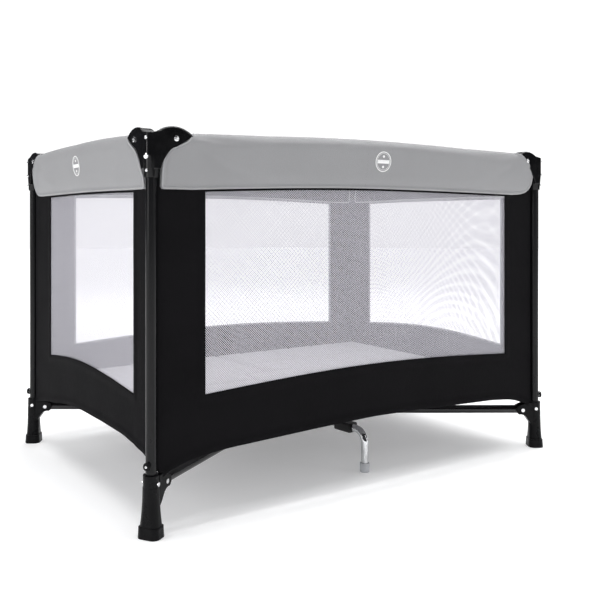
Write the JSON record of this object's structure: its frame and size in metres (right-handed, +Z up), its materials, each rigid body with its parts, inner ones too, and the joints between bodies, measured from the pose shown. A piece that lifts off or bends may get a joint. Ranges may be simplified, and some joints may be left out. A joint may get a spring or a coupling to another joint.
{
  "type": "playpen",
  "caption": "Folding rectangular playpen with padded top rails, net windows in fabric sides, boot feet and a hub-and-strut base that pulls up to fold the frame into a narrow bundle.",
  "frame": {"origin": "on the floor, under the middle of the playpen", "axes": "+X along the long sides, +Y across from the front long side to the back one, +Z up"},
  "size_m": [1.043, 0.745, 0.711],
  "materials": {
    "post_tube": "gloss black powder coat",
    "corner_plastic": "moulded black, glossy",
    "foot_plastic": "moulded black, satin",
    "fastener_steel": "plated",
    "rail_steel": "zinc-plated tube",
    "base_steel": "zinc-plated tube",
    "latch_plastic": "moulded black",
    "button_plastic": "moulded dark grey",
    "hub_plastic": "moulded black",
    "webbing": "woven tape",
    "leg_chrome": "chromed tube",
    "leg_cap_plastic": "moulded light grey",
    "pad_fabric": "grey woven polyester over foam",
    "side_fabric": "black woven polyester with net windows",
    "floor_fabric": "light quilted polyester"
  },
  "bodies": {
    "corner_front_left": {"front_left_post": "post_tube", "front_left_corner_cap": "corner_plastic", "front_left_foot": "foot_plastic", "front_left_fasteners": "fastener_steel", "front_left_side_cloth": "side_fabric"},
    "corner_front_right": {"front_right_post": "post_tube", "front_right_corner_cap": "corner_plastic", "front_right_foot": "foot_plastic", "front_right_fasteners": "fastener_steel", "front_right_side_cloth": "side_fabric"},
    "corner_back_left": {"back_left_post": "post_tube", "back_left_corner_cap": "corner_plastic", "back_left_foot": "foot_plastic", "back_left_fasteners": "fastener_steel", "back_left_side_cloth": "side_fabric"},
    "corner_back_right": {"back_right_post": "post_tube", "back_right_corner_cap": "corner_plastic", "back_right_foot": "foot_plastic", "back_right_fasteners": "fastener_steel", "back_right_side_cloth": "side_fabric"},
    "strut_front_left": {"front_left_strut": "base_steel"},
    "strut_front_right": {"front_right_strut": "base_steel"},
    "strut_back_left": {"back_left_strut": "base_steel"},
    "strut_back_right": {"back_right_strut": "base_steel"},
    "hub": {"hub": "hub_plastic", "pull_strap": "webbing"},
    "rail_front_side_left": {"front_side_left_half_rail": "rail_steel", "front_side_left_half_pad": "pad_fabric"},
    "latch_front": {"front_latch_housing": "latch_plastic"},
    "rail_front_side_right": {"front_side_right_half_rail": "rail_steel", "front_side_right_half_pad": "pad_fabric"},
    "button_front": {"front_latch_button": "button_plastic"},
    "rail_back_side_left": {"back_side_left_half_rail": "rail_steel", "back_side_left_half_pad": "pad_fabric"},
    "latch_back": {"back_latch_housing": "latch_plastic"},
    "rail_back_side_right": {"back_side_right_half_rail": "rail_steel", "back_side_right_half_pad": "pad_fabric"},
    "button_back": {"back_latch_button": "button_plastic"},
    "rail_left_side_front": {"left_side_front_half_rail": "rail_steel", "left_side_front_half_pad": "pad_fabric"},
    "latch_left": {"left_latch_housing": "latch_plastic"},
    "rail_left_side_back": {"left_side_back_half_rail": "rail_steel", "left_side_back_half_pad": "pad_fabric"},
    "button_left": {"left_latch_button": "button_plastic"},
    "rail_right_side_front": {"right_side_front_half_rail": "rail_steel", "right_side_front_half_pad": "pad_fabric"},
    "latch_right": {"right_latch_housing": "latch_plastic"},
    "rail_right_side_back": {"right_side_back_half_rail": "rail_steel", "right_side_back_half_pad": "pad_fabric"},
    "button_right": {"right_latch_button": "button_plastic"},
    "leg_front": {"front_leg_tube": "leg_chrome", "front_leg_bracket": "hub_plastic", "front_leg_foot": "leg_cap_plastic"},
    "leg_back": {"back_leg_tube": "leg_chrome", "back_leg_bracket": "hub_plastic", "back_leg_foot": "leg_cap_plastic"},
    "floor_front_left": {"front_left_floor": "floor_fabric"},
    "floor_front_right": {"front_right_floor": "floor_fabric"},
    "floor_back_left": {"back_left_floor": "floor_fabric"},
    "floor_back_right": {"back_right_floor": "floor_fabric"}
  },
  "joints": [
    {"name": "fold", "type": "hinge", "parent": "corner_front_left", "child": "strut_front_left", "pos_m": [-0.47392, -0.33287, 0.088], "axis": [0.5489, -0.8359, 0], "range_deg": [0, 85], "deforming": ["front_side_left_half_pad", "front_side_right_half_pad", "back_side_left_half_pad", "back_side_right_half_pad", "left_side_front_half_pad", "left_side_back_half_pad", "right_side_front_half_pad", "right_side_back_half_pad", "front_left_side_cloth", "front_right_side_cloth", "back_left_side_cloth", "back_right_side_cloth", "front_left_floor", "front_right_floor", "back_left_floor", "back_right_floor"]},
    {"name": "hub_hinge_front_left", "type": "hinge", "parent": "strut_front_left", "child": "hub", "pos_m": [-0.03692, -0.04587, 0.088], "axis": [0.5489, -0.8359, 0], "range_deg": [-86, 0]},
    {"name": "hub_hinge_front_right", "type": "hinge", "parent": "hub", "child": "strut_front_right", "pos_m": [0.03692, -0.04587, 0.088], "axis": [0.5489, 0.8359, 0], "range_deg": [0, 86]},
    {"name": "foot_hinge_front_right", "type": "hinge", "parent": "strut_front_right", "child": "corner_front_right", "pos_m": [0.47392, -0.33287, 0.088], "axis": [0.5489, 0.8359, 0], "range_deg": [-86, 0]},
    {"name": "hub_hinge_back_left", "type": "hinge", "parent": "hub", "child": "strut_back_left", "pos_m": [-0.03692, 0.04587, 0.088], "axis": [-0.5489, -0.8359, 0], "range_deg": [0, 86]},
    {"name": "foot_hinge_back_left", "type": "hinge", "parent": "strut_back_left", "child": "corner_back_left", "pos_m": [-0.47392, 0.33287, 0.088], "axis": [-0.5489, -0.8359, 0], "range_deg": [-86, 0]},
    {"name": "hub_hinge_back_right", "type": "hinge", "parent": "hub", "child": "strut_back_right", "pos_m": [0.03692, 0.04587, 0.088], "axis": [-0.5489, 0.8359, 0], "range_deg": [0, 86]},
    {"name": "foot_hinge_back_right", "type": "hinge", "parent": "strut_back_right", "child": "corner_back_right", "pos_m": [0.47392, 0.33287, 0.088], "axis": [-0.5489, 0.8359, 0], "range_deg": [-86, 0]},
    {"name": "cap_hinge_front_side_left", "type": "hinge", "parent": "corner_front_left", "child": "rail_front_side_left", "pos_m": [-0.459, -0.35, 0.685], "axis": [0, 1, 0], "range_deg": [0, 86]},
    {"name": "latch_hinge_front", "type": "hinge", "parent": "rail_front_side_left", "child": "latch_front", "pos_m": [-0.022, -0.35, 0.685], "axis": [0, 1, 0], "range_deg": [-86, 0]},
    {"name": "cap_hinge_front_side_right", "type": "hinge", "parent": "corner_front_right", "child": "rail_front_side_right", "pos_m": [0.459, -0.35, 0.685], "axis": [0, -1, 0], "range_deg": [0, 86]},
    {"name": "release_front", "type": "slide", "parent": "latch_front", "child": "button_front", "axis": [0, 0, 1], "range_m": [0, 0.0035], "stiffness_N_per_m": 300, "springref_m": -0.002},
    {"name": "cap_hinge_back_side_left", "type": "hinge", "parent": "corner_back_left", "child": "rail_back_side_left", "pos_m": [-0.459, 0.35, 0.685], "axis": [0, 1, 0], "range_deg": [0, 86]},
    {"name": "latch_hinge_back", "type": "hinge", "parent": "rail_back_side_left", "child": "latch_back", "pos_m": [-0.022, 0.35, 0.685], "axis": [0, 1, 0], "range_deg": [-86, 0]},
    {"name": "cap_hinge_back_side_right", "type": "hinge", "parent": "corner_back_right", "child": "rail_back_side_right", "pos_m": [0.459, 0.35, 0.685], "axis": [0, -1, 0], "range_deg": [0, 86]},
    {"name": "release_back", "type": "slide", "parent": "latch_back", "child": "button_back", "axis": [0, 0, 1], "range_m": [0, 0.0035], "stiffness_N_per_m": 300, "springref_m": -0.002},
    {"name": "cap_hinge_left_side_front", "type": "hinge", "parent": "corner_front_left", "child": "rail_left_side_front", "pos_m": [-0.5, -0.309, 0.685], "axis": [-1, 0, 0], "range_deg": [0, 86]},
    {"name": "latch_hinge_left", "type": "hinge", "parent": "rail_left_side_front", "child": "latch_left", "pos_m": [-0.5, -0.022, 0.685], "axis": [-1, 0, 0], "range_deg": [-86, 0]},
    {"name": "cap_hinge_left_side_back", "type": "hinge", "parent": "corner_back_left", "child": "rail_left_side_back", "pos_m": [-0.5, 0.309, 0.685], "axis": [1, 0, 0], "range_deg": [0, 86]},
    {"name": "release_left", "type": "slide", "parent": "latch_left", "child": "button_left", "axis": [0, 0, 1], "range_m": [0, 0.0035], "stiffness_N_per_m": 300, "springref_m": -0.002},
    {"name": "cap_hinge_right_side_front", "type": "hinge", "parent": "corner_front_right", "child": "rail_right_side_front", "pos_m": [0.5, -0.309, 0.685], "axis": [-1, 0, 0], "range_deg": [0, 86]},
    {"name": "latch_hinge_right", "type": "hinge", "parent": "rail_right_side_front", "child": "latch_right", "pos_m": [0.5, -0.022, 0.685], "axis": [-1, 0, 0], "range_deg": [-86, 0]},
    {"name": "cap_hinge_right_side_back", "type": "hinge", "parent": "corner_back_right", "child": "rail_right_side_back", "pos_m": [0.5, 0.309, 0.685], "axis": [1, 0, 0], "range_deg": [0, 86]},
    {"name": "release_right", "type": "slide", "parent": "latch_right", "child": "button_right", "axis": [0, 0, 1], "range_m": [0, 0.0035], "stiffness_N_per_m": 300, "springref_m": -0.002},
    {"name": "leg_hinge_front", "type": "hinge", "parent": "hub", "child": "leg_front", "pos_m": [0.006, -0.05, 0.088], "axis": [1, 0, 0], "range_deg": [0, 86]},
    {"name": "leg_hinge_back", "type": "hinge", "parent": "hub", "child": "leg_back", "pos_m": [-0.006, 0.05, 0.088], "axis": [-1, 0, 0], "range_deg": [0, 86]},
    {"name": "floor_hinge_front_left", "type": "hinge", "parent": "hub", "child": "floor_front_left", "pos_m": [0.00978, 0.00642, 0.109], "axis": [0.5489, -0.8359, 0], "range_deg": [0, 86]},
    {"name": "floor_hinge_front_right", "type": "hinge", "parent": "hub", "child": "floor_front_right", "pos_m": [-0.00978, 0.00642, 0.109], "axis": [0.5489, 0.8359, 0], "range_deg": [0, 86]},
    {"name": "floor_hinge_back_left", "type": "hinge", "parent": "hub", "child": "floor_back_left", "pos_m": [0.00978, -0.00642, 0.109], "axis": [-0.5489, -0.8359, 0], "range_deg": [0, 86]},
    {"name": "floor_hinge_back_right", "type": "hinge", "parent": "hub", "child": "floor_back_right", "pos_m": [-0.00978, -0.00642, 0.109], "axis": [-0.5489, 0.8359, 0], "range_deg": [0, 86]}
  ],
  "couplings": [
    {"joint": "hub_hinge_front_left", "follows": "fold", "ratio": -1},
    {"joint": "hub_hinge_front_right", "follows": "fold", "ratio": 1},
    {"joint": "foot_hinge_front_right", "follows": "fold", "ratio": -1},
    {"joint": "hub_hinge_back_left", "follows": "fold", "ratio": 1},
    {"joint": "foot_hinge_back_left", "follows": "fold", "ratio": -1},
    {"joint": "hub_hinge_back_right", "follows": "fold", "ratio": 1},
    {"joint": "foot_hinge_back_right", "follows": "fold", "ratio": -1},
    {"joint": "cap_hinge_front_side_left", "follows": "fold", "ratio": 1},
    {"joint": "latch_hinge_front", "follows": "fold", "ratio": -1},
    {"joint": "cap_hinge_front_side_right", "follows": "fold", "ratio": 1},
    {"joint": "cap_hinge_back_side_left", "follows": "fold", "ratio": 1},
    {"joint": "latch_hinge_back", "follows": "fold", "ratio": -1},
    {"joint": "cap_hinge_back_side_right", "follows": "fold", "ratio": 1},
    {"joint": "cap_hinge_left_side_front", "follows": "fold", "ratio": 1},
    {"joint": "latch_hinge_left", "follows": "fold", "ratio": -1},
    {"joint": "cap_hinge_left_side_back", "follows": "fold", "ratio": 1},
    {"joint": "cap_hinge_right_side_front", "follows": "fold", "ratio": 1},
    {"joint": "latch_hinge_right", "follows": "fold", "ratio": -1},
    {"joint": "cap_hinge_right_side_back", "follows": "fold", "ratio": 1},
    {"joint": "leg_hinge_front", "follows": "fold", "ratio": 1},
    {"joint": "leg_hinge_back", "follows": "fold", "ratio": 1},
    {"joint": "floor_hinge_front_left", "follows": "fold", "ratio": 1},
    {"joint": "floor_hinge_front_right", "follows": "fold", "ratio": 1},
    {"joint": "floor_hinge_back_left", "follows": "fold", "ratio": 1},
    {"joint": "floor_hinge_back_right", "follows": "fold", "ratio": 1}
  ]
}
